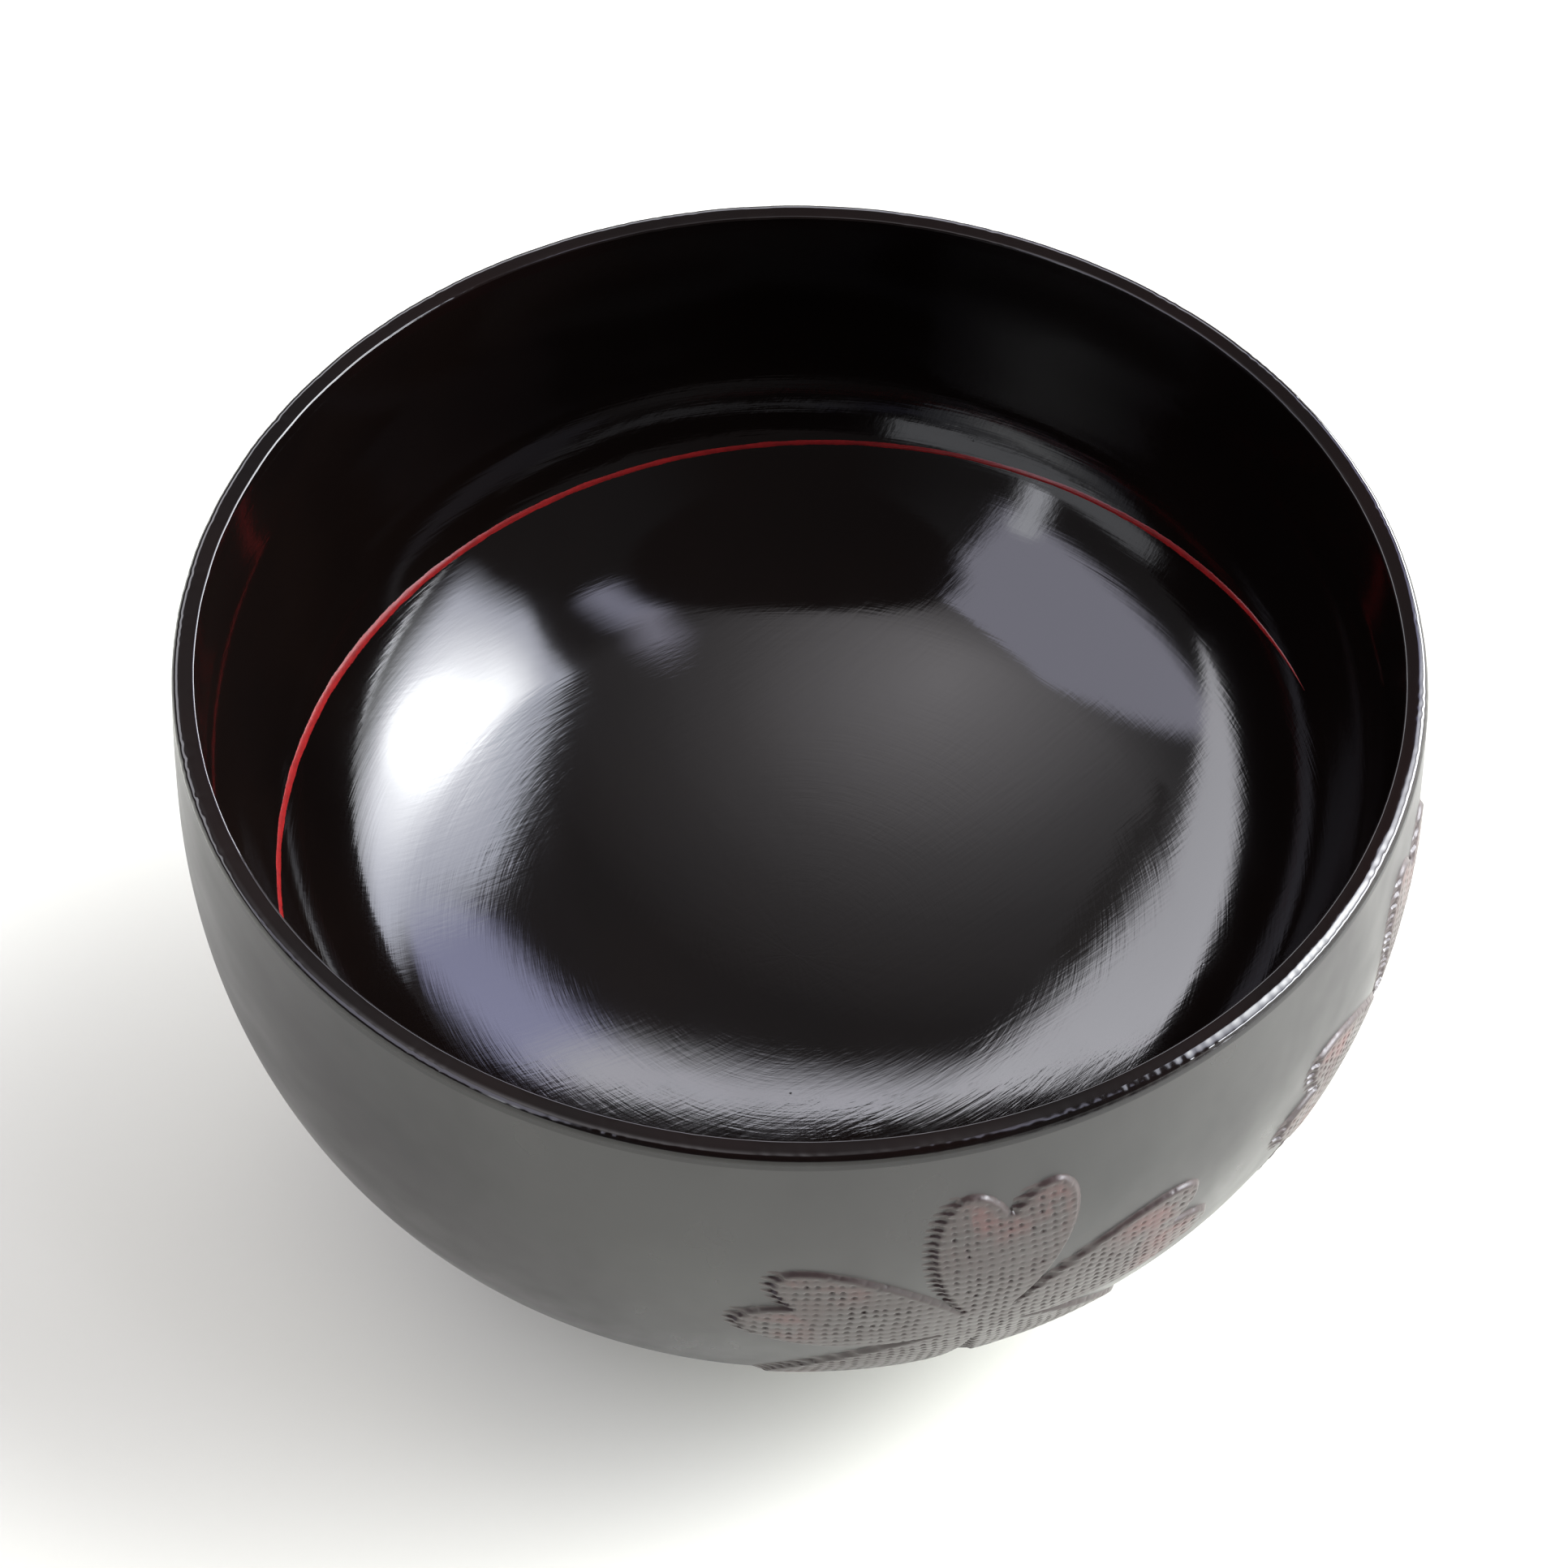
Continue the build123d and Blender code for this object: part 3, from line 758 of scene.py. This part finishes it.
coats = {
    "inner_lacquer": (inner_coat(), inside_black, "black_lacquer"),
    "outer_lacquer": (outer_coat(), outside_black, "satin_lacquer"),
    "foot_lacquer": (foot_coat(), foot_black, "satin_lacquer"),
    "rim_lacquer": (rim_coat(), rim_black, "rim_lacquer"),
    "red_line": (painted_line(), cinnabar(), "cinnabar_lacquer"),
}
for node, (piece, material, slot) in coats.items():
    piece.data.materials.append(material)
    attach(piece, "root")
    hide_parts(node)

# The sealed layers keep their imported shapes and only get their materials.
hemp_material = hemp()
for node, material in (("wood_core", turned_wood()), ("rim_cloth", hemp_material),
                       ("well_cloth", hemp_material), ("foot_cloth", hemp_material)):
    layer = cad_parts[node]
    layer.data.materials.clear()
    layer.data.materials.append(material)

cloth_material = cloth_lacquer()
for node, azimuth, seed, pitch in (("blossom_front", -72.0, 3, 0.13),
                                   ("blossom_side", -16.0, 5, 0.15)):
    piece, cut_size, cut_area = blossom("cloth_" + node, azimuth, seed, pitch)
    piece.data.materials.append(cloth_material)
    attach(piece, "root")
    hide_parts(node)


# ---- the studio: floor, sky of soft panels, camera -------------------------------------------
def floor():
    """A pale card 12 m across."""
    mesh = bpy.data.meshes.new("floor")
    half = 6.0
    corners = [(-half, -half, 0), (half, -half, 0), (half, half, 0), (-half, half, 0)]
    mesh.from_pydata(corners, [], [(0, 1, 2, 3)])
    thing = bpy.data.objects.new("floor", mesh)
    bpy.context.scene.collection.objects.link(thing)
    material, kit, look = new_material("white_card")
    kit.plug(look["Base Color"], (0.513, 0.510, 0.445, 1))
    kit.plug(look["Roughness"], 0.9)
    thing.data.materials.append(material)


def direction(azimuth, elevation):
    """Unit vector; azimuth runs from +X towards +Y."""
    a, e = math.radians(azimuth), math.radians(elevation)
    return Vector((math.cos(a) * math.cos(e), math.sin(a) * math.cos(e), math.sin(e)))


def board(kit, ray, azimuth, half_width, bottom, top, blur, gable=0.0):
    """Mask of an upright board that faces the bowl; its sizes are slopes seen from the bowl."""
    middle = direction(azimuth, 0)
    across = Vector((-middle.y, middle.x, 0))
    facing = kit.vector("DOT_PRODUCT", ray, middle)
    near = kit.math("MAXIMUM", facing, 0.02)
    u = kit.math("ABSOLUTE", kit.math("DIVIDE", kit.vector("DOT_PRODUCT", ray, across), near))
    v = kit.math("DIVIDE", kit.vector("DOT_PRODUCT", ray, (0, 0, 1)), near)
    roof = kit.total(v, kit.math("MULTIPLY", u, gable))
    sides = kit.ramp(u, half_width + blur, half_width - blur, shape="SMOOTHSTEP")
    over = kit.ramp(roof, top + blur, top - blur, shape="SMOOTHSTEP")
    under = kit.ramp(v, bottom - blur, bottom + blur, shape="SMOOTHSTEP")
    ahead = kit.ramp(facing, 0.02, 0.03)
    shape = kit.math("MULTIPLY", sides, over)
    return kit.math("MULTIPLY", shape, kit.math("MULTIPLY", under, ahead))


def strip(kit, ray, start, end, half_width, blur):
    """Mask of a soft band in the sky between two directions."""
    a, b = direction(*start), direction(*end)
    span = b - a
    offset = kit.vector("SUBTRACT", ray, a)
    along = kit.math("DIVIDE", kit.vector("DOT_PRODUCT", offset, span), span.length_squared)
    along = kit.math("MINIMUM", kit.math("MAXIMUM", along, 0.0), 1.0)
    far = kit.vector("LENGTH", kit.vector("SUBTRACT", offset, kit.scaled(span, along)))
    return kit.ramp(far, half_width + blur, half_width - blur, shape="SMOOTHSTEP")


def disc(kit, ray, azimuth, elevation, radius, blur):
    """Mask of a round shape; its radius is in degrees."""
    facing = kit.vector("DOT_PRODUCT", ray, direction(azimuth, elevation))
    edge_out, edge_in = (math.cos(math.radians(radius + side)) for side in (blur, -blur))
    return kit.ramp(facing, edge_out, edge_in, shape="SMOOTHSTEP")


# The ceiling's glow, by distance from its brightest spot.
CEILING = [(0.0, 3.2), (0.24, 1.7), (0.35, 1.0), (0.48, 0.55), (0.66, 0.20), (0.9, 0.14)]


def studio():
    """A dim room: a tall window to the right, a gabled reflector behind left, a pale ceiling."""
    world = bpy.data.worlds.new("studio")
    bpy.context.scene.world = world
    world.use_nodes = True
    kit = Kit(world.node_tree)
    ray = kit.put("ShaderNodeTexCoord").outputs["Generated"]
    parts, plan = kit.split(ray)
    away = kit.vector("LENGTH", kit.vector("SUBTRACT", plan, (-0.24, 0.09, 0)))
    ceiling = kit.put("ShaderNodeValToRGB", {0: away})
    stops = ceiling.color_ramp.elements
    while len(stops) < len(CEILING):
        stops.new(0.5)
    for stop, (place, glow) in zip(stops, CEILING):
        stop.position = place
        stop.color = (glow, glow * 0.96, glow, 1)
    colour = ceiling.outputs[0]
    # Masks and what they glow with, each over the ones before it.
    layers = [
        # the bluish wall on the left, and the gap beside it
        (board(kit, ray, -162, 0.62, 0.56, 2.4, 0.08), (3.7, 3.65, 4.4)),
        (strip(kit, ray, (-136, 31), (-134, 12), 0.045, 0.035), (6.0, 6.1, 6.6)),
        # the blind beside the window
        (strip(kit, ray, (-31, 57), (-24, 68), 0.05, 0.05), (3.8, 3.8, 4.9)),
        (strip(kit, ray, (-24, 70), (2, 76), 0.035, 0.05), (3.8, 3.7, 4.6)),
        # a sliver of blue wall, the end of the reflector, the gabled reflector and its dark frame
        (strip(kit, ray, (56, 38), (84, 25), 0.085, 0.04), (3.9, 4.0, 5.9)),
        (strip(kit, ray, (78, 31), (104, 27), 0.10, 0.06), (6.2, 6.2, 6.8)),
        (board(kit, ray, 134, 1.25, 0.47, 0.965, 0.07, 0.36), (6.7, 6.7, 7.2)),
        (strip(kit, ray, (119, 43), (137, 48), 0.022, 0.02), (0.3, 0.28, 0.28)),
        (strip(kit, ray, (137, 48), (149, 46), 0.022, 0.02), (0.3, 0.28, 0.28)),
        # the window, the sun on its blind, and its low pane
        (board(kit, ray, 17.0, 0.74, 0.52, 2.35, 0.14, 1.4), (8.0, 8.3, 9.6)),
        (board(kit, ray, 16.0, 0.38, 0.60, 1.80, 0.32, 0.9), (25.0, 25.6, 26.6)),
        (strip(kit, ray, (14, 38), (20, 46), 0.09, 0.13), (38.0, 38.6, 39.8)),
        (board(kit, ray, 20.0, 0.95, 0.05, 0.37, 0.04), (34.0, 34.8, 37.0)),
        # a plain dark shape where a camera on its stand would be
        (disc(kit, ray, -88, 58.5, 25, 2.0), (0.09, 0.075, 0.075)),
        (board(kit, ray, -88, 0.42, 0.2, 1.2, 0.25), (0.09, 0.075, 0.075)),
    ]
    for mask, glow in layers:
        colour = kit.mix(mask, colour, (*glow, 1))
    below = kit.ramp(parts[2], 0.10, 0.02)
    colour = kit.mix(below, colour, (1.1, 1.1, 1.1, 1))
    background = kit.put("ShaderNodeBackground", {"Color": colour})
    kit.put("ShaderNodeOutputWorld", {0: background.outputs[0]})


# The view, fitted to the rim's ellipse and the silhouette; the angles are in radians.
CAMERA_DISTANCE = 10.345 * RIM_RADIUS
CAMERA_ELEVATION = 0.8632
CAMERA_YAW, CAMERA_PITCH, CAMERA_ROLL = 0.0022, -0.0204, -0.0155
CAMERA_LENS = 149.1


def camera():
    """A long lens looking down into the bowl from the front."""
    back = Vector((0, -math.cos(CAMERA_ELEVATION), math.sin(CAMERA_ELEVATION)))
    right = Vector((1, 0, 0))
    axes = [right, right.cross(-back), -back]
    for axis, angle in ((1, CAMERA_YAW), (0, CAMERA_PITCH), (2, CAMERA_ROLL)):
        turn = Matrix.Rotation(angle, 3, axes[axis])
        axes = [turn @ each for each in axes]
    right, up, forward = axes
    data = bpy.data.cameras.new("camera")
    data.sensor_width = 36.0
    data.lens = CAMERA_LENS
    thing = bpy.data.objects.new("camera", data)
    bpy.context.scene.collection.objects.link(thing)
    basis = Matrix((right, up, -forward)).transposed().to_4x4()
    place = Vector((0, 0, HEIGHT * MM)) + back * (CAMERA_DISTANCE * MM)
    thing.matrix_world = Matrix.Translation(place) @ basis
    data.clip_start = 0.01
    bpy.context.scene.camera = thing


floor()
studio()
camera()
bpy.context.scene.view_settings.view_transform = "Standard"
